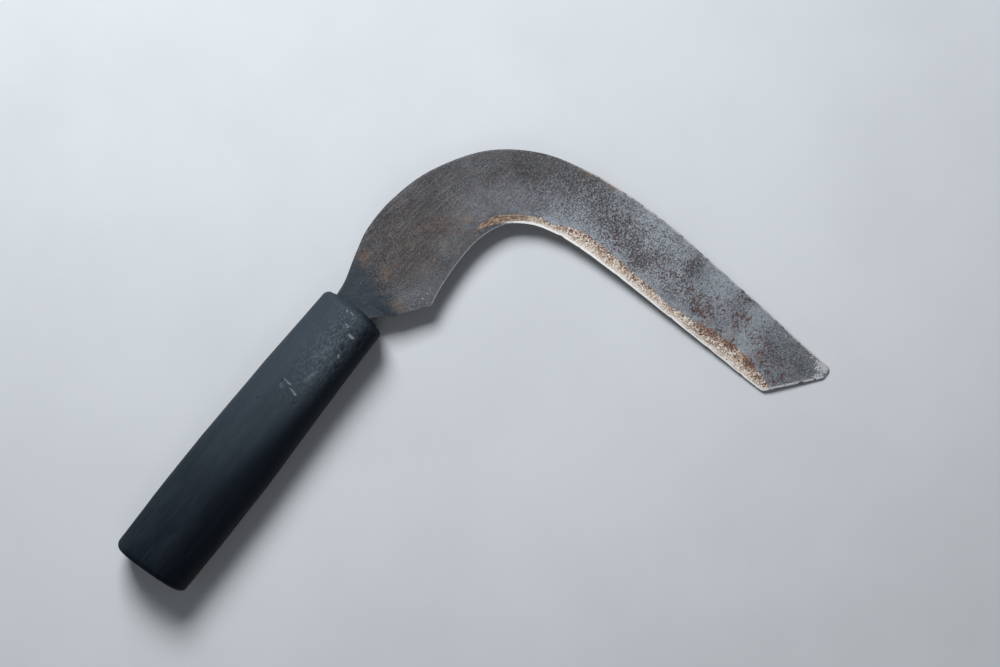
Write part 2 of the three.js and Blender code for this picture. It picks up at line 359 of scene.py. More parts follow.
# Zones of the upper face, as round spots: x, y, radius, strength.
RUST_SPOTS = [  # brown rust that has bitten in
    (226, -44, 6, 0.35), (229.5, -58, 5, 0.5), (231.5, -68, 6, 0.6), (232, -80, 6, 0.6),
    (232.5, -93, 6, 0.6), (233, -105, 6, 0.7), (233, -114, 6, 0.85), (237, -121, 5, 0.75),
    (238, -131, 5, 0.9), (238, -141, 5, 0.8), (235, -148, 5, 0.75), (231, -153, 5, 0.8),
    (229, -159, 5, 0.8), (223.5, -154, 4, 0.5), (224, -124, 8, 0.45), (228.5, -126, 3, 0.85),
    (229, -134, 3, 0.8), (227.5, -146, 3, 0.85), (247, -126, 4, 0.45), (244, -101, 3, 0.6),
    (242, -43, 8, 0.45), (236, -27, 7, 0.4),
]
SPOTS = {
    "orange": [  # faint fresh rust
        (161, 10.5, 2.6, 1), (158, 8.0, 1.6, 0.8), (160.5, -1.5, 2.6, 0.9), (153.5, -13.7, 2.4, 1),
        (152, -15, 1.4, 0.9), (199.7, -13, 2.2, 0.9), (176, -3, 12, 0.3), (190, -10, 10, 0.3),
        (227.5, -121, 3.5, 0.9), (228.5, -133, 3.5, 0.9), (228, -145, 4, 0.9), (247.5, -41, 3, 0.8),
        (249.5, -53, 2.5, 0.7),
    ],
    "light": [  # paler steel
        (158, -18, 7, 0.6), (170, -18, 8, 0.6), (186, -17, 7, 0.3), (204, -12, 9, 0.4),
        (219, -22, 8, 0.45), (228, -46, 9, 0.7), (228, -62, 5, 0.7), (227, -75, 5, 0.7),
        (229, -90, 6, 0.7), (249, -64, 7, 0.35), (246, -78, 9, 0.9), (235, -93, 5, 0.4),
        (247, -93, 5, 0.6), (246, -114, 9, 0.45), (230, -104, 4, 0.6), (232, -139, 6, 0.8),
        (243, -136, 6, 0.5),
    ],
    "dark": [  # darker scale
        (236, -18, 8, 0.95), (241.5, -30, 6, 0.75), (150, 4, 12, 0.7), (162, 6, 12, 0.7),
        (180, 8, 14, 0.8), (174, -5, 11, 0.7), (188, -4, 9, 0.5), (203, 4, 12, 0.6),
        (228, -8, 10, 0.5), (241, -44, 11, 0.9), (236, -78, 9, 0.6), (244, -101, 3.4, 1),
        (241, -62, 9, 0.5), (242, -158, 11, 0.35), (249, -126, 3, 0.6),
    ],
    "gritty": [  # densely speckled with dark pits
        (226, -36, 11, 0.6), (234, -50, 13, 0.8), (236, -66, 13, 1), (236, -82, 13, 1),
        (235, -97, 11, 1), (233, -110, 8, 0.8), (234, -122, 6, 0.35), (248, -126, 4, 0.7),
        (229, -152, 7, 0.6),
    ],
    "scoured": [  # rubbed down to bright specks
        (162, -21, 5, 0.3), (156, -18, 4, 0.25), (245.5, -170.5, 3.6, 1), (247.5, -164, 2.6, 0.8),
        (240, -172.5, 2.6, 0.9), (234, -169.5, 2, 0.7), (226, -162.5, 2.2, 0.5),
        (247.5, -150, 3, 0.35),
    ],
    "scratched": [  # long scratches
        (188, 7, 10, 1), (204, -1, 8, 0.9), (173, 12, 7, 0.7), (176, -6, 8, 0.3), (222, -12, 9, 0.4),
    ],
}


def at_station(u, column):
    return np.interp(u, np.arange(LAST_STATION + 1), BLADE_STATIONS[:, column])


def inner_line(u):
    """The inner side in plan: straight along the heel, then a curve along the edge."""
    heel = stacked(at_station(u, 0), at_station(u, 1))
    edge = spline(BLADE_STATIONS[HEEL_CORNER:, :2], np.clip(u - HEEL_CORNER, 0, None))
    return np.where((u < HEEL_CORNER)[:, None], heel, edge)


def soft_inner_line(u):
    """The inner side with its corners worn round."""
    wear = 0.09
    shifts = np.linspace(-wear, wear, 7)
    return np.mean([inner_line(np.clip(u + shift, 0, LAST_STATION)) for shift in shifts], axis=0)


def spine_line(u):
    return spline(BLADE_STATIONS[:, 2:4], u)


def blade_places():
    """Places of the blade's rings, in stations: evenly spaced along the spine, closer at the end."""
    fine = np.linspace(0, LAST_STATION, 6000)
    length = lengths(spine_line(fine))
    body = np.arange(0, length[-1] - END_REACH, RING_STEP)
    end = np.arange(length[-1] - END_REACH, length[-1], END_STEP)
    return np.interp([*body, *end, length[-1]], length, fine)


def blade_rows():
    """For each ring from the tang's end to the tip: u, inner and spine point, both thicknesses."""
    u = blade_places()
    inner = soft_inner_line(u)
    spine = spine_line(u)
    along = lengths(inner)
    inward = (spine - inner) / np.linalg.norm(spine - inner, axis=1)[:, None]
    wander = stacked(along, 0, 0)
    bite = 0.1 * noise(wander, 9, 3) + 0.04 * noise(wander, 2.2, 4)
    for place, depth, reach in EDGE_NICKS:
        middle = np.interp(place, u, along)
        bite = bite + depth * np.exp(-(((along - middle) / reach) ** 2))
    inner = inner + inward * (bite * smooth_step(u, 0, 0.3))[:, None]
    spine = spine + inward * (0.16 * noise(wander, 13, 5) - 0.1)[:, None]

    _, neck_low, neck_x, neck_high, neck_thick, _ = BLADE_STATIONS[0]
    back, root = TANG_STATIONS[0, 0], TANG_STATIONS[-1, 0]
    x = joined(np.arange(back, root, 4), np.arange(root, neck_x, 1.5))
    low, high, thickness = (look_up(TANG_STATIONS, x, column) for column in (1, 2, 3))
    reach = np.clip((x - root) / (neck_x - root), 0, 1)
    low = low + (neck_low - low) * reach
    high = high + (neck_high - high) * reach
    thickness = thickness + (neck_thick - thickness) * reach
    return (
        joined(np.full(len(x), -1.0), u),
        joined(stacked(x, low), inner),
        joined(stacked(x, high), spine),
        joined(thickness, at_station(u, 4)),
        joined(thickness, at_station(u, 5)),
    )


def upper_height(distance, width, band, ground, edge_thick, spine_thick):
    """Height of the upper face at a distance from the inner side: the bevel, then the crown."""
    shoulder = (edge_thick + SHOULDER_THICKNESS * (spine_thick - edge_thick)) / 2
    edge_height = edge_thick - shoulder
    even_grind = edge_height + GRIND_SLOPE * band
    top = shoulder + (even_grind - shoulder) * 0.5 * ground
    bevel = edge_height + (top - edge_height) * distance / band
    rise = np.minimum((distance - band) / (width - band), 1)
    crown = top + (spine_thick / 2 - top) * (1 - (1 - rise) ** CROWN_POWER)
    return smooth_min(bevel, crown, BLUNT_BLEND + (GROUND_BLEND - BLUNT_BLEND) * ground)


def lower_height(distance, width, edge_thick, spine_thick):
    """The same for the lower face, which has no bevel."""
    shoulder = (edge_thick + SHOULDER_THICKNESS * (spine_thick - edge_thick)) / 2
    rise = np.clip((distance - BEVEL_WIDTH) / (width - BEVEL_WIDTH), 0, 1)
    return -shoulder - (spine_thick / 2 - shoulder) * (1 - (1 - rise) ** CROWN_POWER)


def spots(points, table):
    """How strongly a table of round spots acts at each point, from 0 to about 1."""
    total = np.zeros(len(points))
    for x, y, radius, strength in table:
        far = ((points[:, 0] - x) ** 2 + (points[:, 1] - y) ** 2) / radius**2
        total = np.maximum(total, strength * np.exp(-far * far / 2))
    return total


def bevel_band(u):
    """The width of the bare bevel at each ring, and how far the grind has come in, from 0 to 1."""
    start = BEVEL_BAND[0, 0]
    ground = smooth_step(u, start, start + GRIND_RUN_IN)
    wander = stacked(u * 20, 0 * u, 0 * u)
    ragged = 0.35 * noise(wander, 4, 8) + 0.2 * noise(wander, 1.6, 9)
    return look_up(BEVEL_BAND, u) + ragged * ground, ground


def blade_side(upper, lower, rounding, base, sign):
    """The rounded corners and the wall at one side of the blade, from the upper face to the lower:
    how far each point lies from the inner side, and its height."""
    turn = np.linspace(0, np.pi / 2, CORNER_POINTS + 2)[None, 1:-1]
    wall = np.linspace(0, 1, WALL_POINTS + 2)[None]
    reach = base + sign * rounding * np.sin(turn)
    high = upper - rounding * (1 - np.cos(turn))
    deep = lower + rounding * (1 - np.cos(turn))
    middle = (upper - rounding) + (lower - upper + 2 * rounding) * wall
    out = np.broadcast_to(base + sign * rounding, middle.shape)
    return (
        joined(reach, out, reach[:, ::-1], axis=1),
        joined(high, middle, deep[:, ::-1], axis=1),
    )


def blade_sections(width, band, ground, edge_thick, spine_thick):
    """For each point of each ring: how far it lies from the inner side, its height, and the face
    that it is on, from 1 for the upper one to -1 for the lower."""
    spine_round = np.minimum(SPINE_ROUNDING, spine_thick * 0.4)
    edge_round = np.minimum(EDGE_ROUNDING, edge_thick * 0.42)
    part = np.linspace(0, 1, FACE_POINTS)[None]
    share = 0.6 * part + 0.4 * part**2
    distance = edge_round + (width - edge_round - spine_round) * share
    up = upper_height(distance, width, band, ground, edge_thick, spine_thick)
    low = lower_height(distance, width, edge_thick, spine_thick)
    spine_reach, spine_height = blade_side(
        up[:, -1:], low[:, -1:], spine_round, width - spine_round, 1
    )
    edge_reach, edge_height = blade_side(up[:, :1], low[:, :1], edge_round, edge_round, -1)
    one = np.ones(FACE_POINTS)
    count = spine_reach.shape[1]
    return (
        joined(distance, spine_reach, distance[:, ::-1], edge_reach[:, ::-1], axis=1),
        joined(up, spine_height, low[:, ::-1], edge_height[:, ::-1], axis=1),
        joined(one, np.linspace(1, -1, count), -one, np.linspace(-1, 1, count))[None],
    )


def blade_mesh():
    """The blade and its tang in one skin, with what its material reads at each point."""
    u, inner, spine, edge_thick, spine_thick = (
        row if row.ndim == 2 else row[:, None] for row in blade_rows()
    )
    width = np.linalg.norm(spine - inner, axis=1)[:, None]
    bare_band, ground = bevel_band(u)
    band = BEVEL_WIDTH + (bare_band - BEVEL_WIDTH) * ground
    reach, height, face = blade_sections(width, band, ground, edge_thick, spine_thick)

    # The end of the tip is worn thin.
    plan = inner[:, None] + (spine - inner)[:, None] * (reach / width)[..., None]
    across = unit(spine[-1] - inner[-1])
    tip = np.abs((plan - inner[-1]) @ np.array([-across[1], across[0]]))
    thin = np.sqrt(1 - END_THINNING * np.clip(1 - tip / END_ROUNDING, 0, 1) ** 2)
    thin = np.where(u > LAST_STATION - 1.5, thin, 1)
    middle = height.mean(1, keepdims=True)
    height = middle + (height - middle) * thin

    # Forged waves, a fine grain along the blade, and specks where rust has bitten in.
    flat = joined(plan, np.zeros(reach.shape + (1,)), axis=-1)
    free = smooth_step(u, 0.15, 0.8)
    wave = 0.11 * noise(flat, 15, 1) + 0.05 * noise(flat, 6, 2)
    along = lengths(inner + spine) / 2
    grain = stacked(along[:, None] / 9, reach / 1.5, face * 3)
    apart = stacked(flat[..., 0], flat[..., 1], np.sign(face) * 40)
    relief = 0.035 * layered(apart, 3.2, 3, 20) + 0.03 * noise(grain, 1, 21)
    rust = spots(flat.reshape(-1, 3), RUST_SPOTS).reshape(reach.shape)
    rust = np.where(face > 0, rust, 0.45 + 0.4 * noise(apart, 30, 30))
    grit = layered(apart, 1.6, 3, 40) + 0.3 * noise(apart, 7, 44)
    speck = smooth_step(grit, 1.35 - 1.1 * rust, 1.6 - 1.1 * rust) * free
    relief = relief - 0.1 * speck
    clear = smooth_step(np.minimum(reach, width - reach), 0.3, 1.4)
    height = height + free * wave + free * relief * clear * np.sign(face)

    points, faces = skin(joined(plan, height[..., None], axis=-1))
    piece = make_piece("sickle_blade", points, faces)

    def each(values):
        """One value for each point of the skin, and 0 for the two end points."""
        return joined(np.broadcast_to(values, reach.shape).ravel(), [0, 0])

    give(
        piece,
        tool_mm=points,
        along_mm=each(along[:, None]),
        edge_mm=each(reach),
        spine_mm=each(width - reach),
        band_mm=each(np.where(u > BEVEL_BAND[0, 0], bare_band, -3) - reach),
        dark_edge_mm=each(look_up(DARK_EDGE, u)),
        tip_mm=each(tip),
        upper=each((face + 1) / 2),
        rust=each(rust),
        speck=each(speck),
        warm=smooth_step(points[:, 1] + 26 * noise(points, 34, 50), -75, 0),
        paint_mm=look_up(PAINT_EDGE, points[:, 1]) - points[:, 0],
        **{name: spots(points, table) for name, table in SPOTS.items()},
    )
    drill(piece)
    return piece


# ---- Grip ----

GRIP_AROUND = 200
GRIP_STEP = 0.7
BUTT_RINGS = 26
FRONT_RINGS = 30
ROUNDING_RINGS = 9
LIP = 0.6
BORE_MARGIN = BEDDING_WALL + 2 * GAP
BORE_SQUARENESS = 7
RIM_X = GRIP_LENGTH - GRIP_NOSE
DIMPLE = 0.12
PAINT_FILL = 0.15  # paint over the ends of the cross pin

# Marks in the paint on the top of the grip, above MARKS_FROM: two ends, radius and depth.
MARKS_FROM = 3
NO_MARK = 50  # millimetres to the nearest mark, where there is none
CHIPS = [  # paint knocked off down to the grey priming
    ((131.5, -4.9), (131.2, -6.8), 0.55, 0.12), ((134.1, -0.8), (134.0, -2.6), 0.24, 0.06),
    ((134.0, -2.2), (132.9, -2.0), 0.24, 0.06), ((138.7, 2.2), (138.4, 1.9), 0.36, 0.08),
    ((139.3, 0.6), (138.7, -1.1), 0.2, 0.06), ((138.7, -1.1), (137.2, -1.6), 0.2, 0.06),
    ((122.2, -6.5), (121.2, -7.1), 0.4, 0.1), ((100.6, 5.1), (100.2, 1.5), 0.28, 0.1),
    ((98.9, 0.8), (98.5, -1.2), 0.26, 0.08), ((98.6, -1.0), (98.0, -2.8), 0.36, 0.1),
]
RUBS = [  # soft pale rubs, without depth
    ((122.1, -1.6), (114.8, 1.0), 0.3, 0), ((111.3, -3.5), (105.0, -2.2), 0.3, 0),
    ((97.7, 4.4), (97.5, 4.0), 0.2, 0), ((135.6, 0.4), (133.2, 0.8), 0.2, 0),
]
# Their dark inside is painted shade.
DENTS = [  # dark pressed marks with their paint on
    ((126.2, -5.2), (125.0, -6.4), 0.5, 0.3), ((131.3, -10.1), (130.2, -10.5), 0.6, 0.35),
    ((136.2, -9.4), (135.5, -10.2), 0.4, 0.25), ((118.3, -8.8), (117.0, -9.2), 0.35, 0.25),
    ((99.4, 5.3), (99.2, 5.3), 0.3, 0.25), ((87.4, 8.8), (87.2, 8.8), 0.3, 0.25),
    ((95.1, -4.4), (94.9, -4.4), 0.3, 0.25), ((21.0, -9.0), (18.0, -8.0), 0.3, 0.15),
]


def grip_half_size(x):
    return look_up(GRIP_STATIONS, x), look_up(GRIP_STATIONS, x, 2)


def oval(turn, width, height):
    """Points of a superellipse, at turn as its own angle."""
    power = 2 / GRIP_SQUARENESS
    across, up = np.cos(turn), np.sin(turn)
    return stacked(
        np.sign(across) * np.abs(across) ** power * width,
        np.sign(up) * np.abs(up) ** power * height,
    )


def inset_of(y, z, width, height):
    """How far inside the oval outline each point lies, found by halving."""
    low = np.zeros_like(y)
    high = np.full_like(y, height - 1e-3)
    for _ in range(30):
        middle = (low + high) / 2
        outside = np.abs(y / (width - middle)) ** GRIP_SQUARENESS
        outside = outside + np.abs(z / (height - middle)) ** GRIP_SQUARENESS > 1
        high = np.where(outside, middle, high)
        low = np.where(outside, low, middle)
    return (low + high) / 2


def front_x(y, z):
    """The grip's front: a rounded rim, then a shallow dome."""
    width, height = grip_half_size(RIM_X - GRIP_CORNER)
    inset = inset_of(y, z, width, height)
    rim = np.clip(GRIP_CORNER - inset, 0, GRIP_CORNER)
    rounded = RIM_X - GRIP_CORNER + np.sqrt(GRIP_CORNER**2 - rim**2)
    part = np.clip((inset - GRIP_CORNER) / (height - GRIP_CORNER), 0, 1)
    return rounded + GRIP_NOSE * (1 - (1 - part) ** 2)


def tang_box(x, margin):
    """Middle, half width and half height of the tang's section at x, grown by margin."""
    inner_x, inner_y, spine_x, spine_y = BLADE_STATIONS[0, :4]
    xs = [*TANG_STATIONS[:, 0], (inner_x + spine_x) / 2]
    low = np.interp(x, xs, [*TANG_STATIONS[:, 1], inner_y]) - margin
    high = np.interp(x, xs, [*TANG_STATIONS[:, 2], spine_y]) + margin
    thick = np.interp(x, xs, [*TANG_STATIONS[:, 3], TANG_STATIONS[-1, 3]])
    return (low + high) / 2, (high - low) / 2, thick / 2 + margin


def soft_box(aim, middle, half_width, half_height, squareness=BORE_SQUARENESS):
    """Points of a box with round corners, seen from its middle at the angles aim."""
    across = np.abs(np.cos(aim) / half_width) ** squareness
    up = np.abs(np.sin(aim) / half_height) ** squareness
    far = (across + up) ** (-1 / squareness)
    return stacked(middle + far * np.cos(aim), far * np.sin(aim))


def mark_distance(points, marks):
    """Distance from each point to the edge of the nearest mark, below 0 inside it."""
    nearest = np.full(len(points), float(NO_MARK))
    for start, end, radius, _ in marks:
        start, end = np.array(start), np.array(end)
        way = end - start
        part = np.clip((points[:, :2] - start) @ way / (way @ way), 0, 1)[:, None]
        far = np.linalg.norm(points[:, :2] - start - part * way, axis=1) - radius
        nearest = np.minimum(nearest, far)
    return np.where(points[:, 2] > MARKS_FROM, nearest, NO_MARK)


def mark_depth(points, marks):
    """How deep the marks are pressed in at each point."""
    total = np.zeros(len(points))
    for mark in marks:
        far = mark_distance(points, [mark])
        total = np.maximum(total, mark[3] * smooth_step(-far, -0.7, mark[2] * 0.6))
    return total


def grip_rings():
    """Rings from the middle of the butt along the skin, round the front and down the bore."""
    turn = turns(GRIP_AROUND)
    rings = []

    def add(x, yz):
        rings.append(joined(np.broadcast_to(x, turn.shape)[:, None], yz, axis=1))

    width, height = grip_half_size(0)
    rim = oval(turn, width - GRIP_CORNER, height - GRIP_CORNER)
    for part in np.linspace(0.04, 1, BUTT_RINGS, endpoint=False):
        add(0, rim * part)
    for angle in np.linspace(np.pi / 2, 0, ROUNDING_RINGS):
        x = GRIP_CORNER * (1 - np.sin(angle))
        width, height = grip_half_size(x)
        inset = GRIP_CORNER * (1 - np.cos(angle))
        add(x, oval(turn, width - inset, height - inset))
    end = RIM_X - GRIP_CORNER
    steps = round((end - GRIP_CORNER) / GRIP_STEP)
    for x in np.linspace(GRIP_CORNER, end, steps)[1:]:
        add(x, oval(turn, *grip_half_size(x)))

    outer = oval(turn, *grip_half_size(end))
    aim = np.arctan2(outer[:, 1], outer[:, 0])
    mouth = soft_box(aim, *tang_box(GRIP_LENGTH - BEDDING_RECESS, BORE_MARGIN))
    reach = np.linalg.norm(outer - mouth, axis=1)[:, None]
    for step in range(1, FRONT_RINGS + 1):
        part = 1 - math.cos(math.pi / 2 * step / FRONT_RINGS)
        yz = outer + (mouth - outer) * part
        left = np.clip(LIP - reach[:, 0] * (1 - part), 0, LIP)
        lip = LIP - np.sqrt(LIP**2 - left**2)
        add(front_x(yz[:, 0], yz[:, 1]) - lip, yz)
    mouth_x = front_x(mouth[:, 0], mouth[:, 1]) - LIP
    back = TANG_STATIONS[0, 0] - BORE_MARGIN
    for part in np.linspace(0, 1, 24)[1:] ** 2:
        x = mouth_x + (back - mouth_x) * part
        add(x, soft_box(aim, *tang_box(x, BORE_MARGIN)))
    return np.array(rings)


def grip_relief(points):
    """How far the grip's skin is cut back at each point: whittled flats, grain and marks."""
    x, y, z = points.T
    width, height = grip_half_size(x)
    around = np.arctan2(z / height, y / width)
    round_place = stacked(x / 60, np.cos(around) * 1.5, np.sin(around) * 1.5)
    flats = 0.3 * noise(round_place, 1, 60) + 0.16 * np.abs(noise(round_place * [1.4, 2.1, 2.1], 1, 61))
    strokes = 0.03 * noise(stacked(x / 22, y / 1.1, z / 1.1), 1, 62)
    strokes = strokes + 0.02 * noise(points, 3.1, 63)
    cut = 0.34 - flats - strokes
    cut = cut + mark_depth(points, CHIPS) + mark_depth(points, DENTS)
    far = np.hypot(x - PIN_X, y - PIN_Y)
    cut = cut + DIMPLE * smooth_step(far, PIN_RADIUS + 1.9, PIN_RADIUS)
    saw = 0.05 * noise(stacked(x, y / 12, z / 0.9), 1, 64) + 0.05 * noise(points, 2.5, 65)
    return np.maximum(cut, 0), saw


def grip_mesh():
    """The grip: its smooth skin cut back by the relief, then sawn askew and bent."""
    points, faces = skin(grip_rings())
    x, y, z = points.T
    width, height = grip_half_size(x)
    out_y = np.sign(y) * np.abs(y / width) ** (GRIP_SQUARENESS - 1) / width
    out_z = np.sign(z) * np.abs(z / height) ** (GRIP_SQUARENESS - 1) / height
    length = np.hypot(out_y, out_z) + 1e-9
    cut, saw = grip_relief(points)
    inside = inset_of(np.abs(y), np.abs(z), width, height)
    skin_part = smooth_step(inside, 3.4, 0.6)
    moved = points.copy()
    moved[:, 1] -= out_y / length * cut * skin_part
    moved[:, 2] -= out_z / length * cut * skin_part
    end_part = smooth_step(inside, 1.5, 4)
    butt = end_part * (x < GRIP_CORNER)
    front = end_part * (x > RIM_X - 1)
    moved[:, 0] += butt * np.abs(saw) - front * (np.abs(saw) * 0.8 + 0.1 * np.abs(noise(points, 5, 66)))
    moved[:, 0] += np.clip(1 - x / BUTT_BLEND, 0, 1) * (BUTT_X - BUTT_SLANT * y)
    bent = np.clip((x - BEND_START) / (GRIP_LENGTH - BEND_START), 0, 1)
    moved[:, 1] -= GRIP_BEND * bent * skin_part
    piece = make_piece("sickle_grip", moved, faces)
    drill(piece)
    placed = points_of(piece)
    x, y, z = placed.T
    rubbed = np.exp(-(((x - 124) / 22) ** 2) - ((y + 1) / 7) ** 2)
    give(
        piece,
        tool_mm=placed,
        chip_mm=mark_distance(placed, CHIPS),
        dent_mm=mark_distance(placed, DENTS),
        rub_mm=mark_distance(placed, RUBS),
        scuff=rubbed * (z > 0),
    )
    return piece


# ---- Bedding and pin ----

def bedding_mesh():
    """The set pitch round the tang: a sleeve with a closed back and a lumpy front."""
    around = 144
    aim = turns(around)
    front = GRIP_LENGTH - BEDDING_RECESS
    outer_margin = BEDDING_WALL + GAP
    back = TANG_STATIONS[0, 0] - outer_margin
    floor = TANG_STATIONS[0, 0] - GAP

    def ring(x, margin):
        """The room inside is squarer than the outside, because the tang's corners lie in it."""
        inward = (outer_margin - margin) / (outer_margin - GAP)
        squareness = BORE_SQUARENESS + BORE_SQUARENESS * inward
        yz = soft_box(aim, *tang_box(x, margin), squareness)
        return joined(np.full((around, 1), x), yz, axis=1)

    bulge = 0.4
    rim = front - bulge
    rings = [ring(x, outer_margin) for x in np.linspace(back, rim, 48)]
    for part in np.linspace(0, 1, 9)[1:-1]:
        margin = outer_margin + (GAP - outer_margin) * part
        rings.append(ring(rim + bulge * math.sin(math.pi * part), margin))
    rings += [ring(x, GAP) for x in np.linspace(rim, floor, 48)]
    rings = np.array(rings)
    face = front_x(rings[..., 1], rings[..., 2]) - BEDDING_RECESS
    rings[..., 0] -= np.clip(front - face, 0, None) * smooth_step(rings[..., 0], front - 8, front - 0.6)
    lumps = 0.22 * noise(rings, 2.6, 70) + 0.1 * noise(rings, 1.1, 71) - 0.12
    rings[..., 0] += lumps * smooth_step(rings[..., 0], front - 4, front - 0.5)
    piece = make_piece("set_pitch", *skin(rings))
    drill(piece)
    give(piece, tool_mm=points_of(piece))
    return piece


def pin_mesh():
    """The cross pin, with hammered ends that lie just under the grip's skin."""
    around = 72
    half = grip_half_size(PIN_X)[1] - PIN_SUNK + PAINT_FILL
    dome, rounding = 0.15, 0.15
    profile = []
    for part in np.linspace(0.06, 1, 12):
        radius = (PIN_RADIUS - rounding) * part
        profile.append((radius, -half + rounding * 0.3 - dome * (1 - part**2)))
    for angle in np.linspace(0.2, 1, 5) * math.pi / 2:
        radius = PIN_RADIUS - rounding * (1 - math.sin(angle))
        profile.append((radius, -half + rounding * (1.3 - math.cos(angle))))
    profile += [(PIN_RADIUS, z) for z in np.linspace(-half + 2, 0, 10)]
    profile += [(radius, -z) for radius, z in profile[-2::-1]]
    rings = np.array([pin_ring(around, radius, z) for radius, z in profile])
    end = smooth_step(np.abs(rings[..., 2]), half - 1.5, half)
    rings[..., 2] -= np.sign(rings[..., 2]) * np.abs(0.09 * noise(rings, 1.3, 80) * end)
    piece = make_piece("cross_pin", *skin(rings))
    give(piece, tool_mm=points_of(piece))
    return piece


# ---- Materials ----

def tone(red, green, blue):
    """A colour given as it looks, 0 to 255, as the linear one that a shader takes."""
    def linear(value):
        value = value / 255
        return value / 12.92 if value <= 0.04045 else ((value + 0.055) / 1.055) ** 2.4
    return (linear(red), linear(green), linear(blue), 1)


class Graph:
    """A material and short ways to add the nodes of its procedural texture."""

    def __init__(self, name):
        self.material = bpy.data.materials.new(name)
        self.material.use_nodes = True
        self.tree = self.material.node_tree
        self.shader = self.tree.nodes["Principled BSDF"]

    def feed(self, socket, value):
        if isinstance(value, bpy.types.NodeSocket):
            self.tree.links.new(value, socket)
        else:
            socket.default_value = value

    def node(self, kind, inputs, **settings):
        made = self.tree.nodes.new("ShaderNode" + kind)
        for name, value in settings.items():
            setattr(made, name, value)
        for key, value in inputs.items():
            self.feed(made.inputs[key], value)
        return made

    def value(self, name, output="Fac"):
        return self.node("Attribute", {}, attribute_name=name).outputs[output]

    def place(self):
        return self.value("tool_mm", "Vector")

    def stretch(self, vector, x, y, z):
        return self.node("VectorMath", {0: vector, 1: (x, y, z)}, operation="MULTIPLY").outputs[0]

    def noise(self, vector, scale, detail=3, rough=0.55, bend=0):
        inputs = {"Vector": vector, "Scale": scale, "Detail": detail, "Roughness": rough}
        inputs["Distortion"] = bend
        return self.node("TexNoise", inputs).outputs["Fac"]

    def math(self, operation, a, b=0.0):
        return self.node("Math", {0: a, 1: b}, operation=operation).outputs[0]

    add = partialmethod(math, "ADD")
    less = partialmethod(math, "SUBTRACT")
    times = partialmethod(math, "MULTIPLY")
    either = partialmethod(math, "MAXIMUM")

    def sway(self, base, wave, amount):
        """A base moved up and down by a noise that runs from 0 to 1."""
        return self.add(base, self.times(self.less(wave, 0.5), amount))

    def span(self, value, low, high, to_low, to_high, kind="LINEAR"):
        inputs = {"Value": value, "From Min": low, "From Max": high}
        inputs.update({"To Min": to_low, "To Max": to_high})
        return self.node("MapRange", inputs, interpolation_type=kind).outputs[0]

    def step(self, value, low, high):
        """0 at low and 1 at high, eased. High may be the smaller one."""
        return self.span(value, low, high, 0, 1, "SMOOTHSTEP")

    def mix(self, part, a, b):
        """A colour that goes from a to b as part goes from 0 to 1."""
        return self.node("Mix", {0: part, 6: a, 7: b}, data_type="RGBA").outputs[2]

    def level(self, part, a, b):
        """The same for a number."""
        return self.node("Mix", {0: part, 2: a, 3: b}, data_type="FLOAT").outputs[0]

    def coat(self, base, part, strength, colour):
        """A colour laid over a base where part is 1, at a strength up to 1."""
        return self.mix(self.times(part, strength), base, colour)

    def bump(self, height, depth, below=None):
        """Bumps of depth millimetres from a height of 0 to 1, on top of other bumps."""
        inputs = {"Height": height, "Distance": depth * MM}
        if below is not None:
            inputs["Normal"] = below
        return self.node("Bump", inputs).outputs[0]

    def finish(self, **sockets):
        for name, value in sockets.items():
            self.feed(self.shader.inputs[name.replace("_", " ")], value)
        return self.material


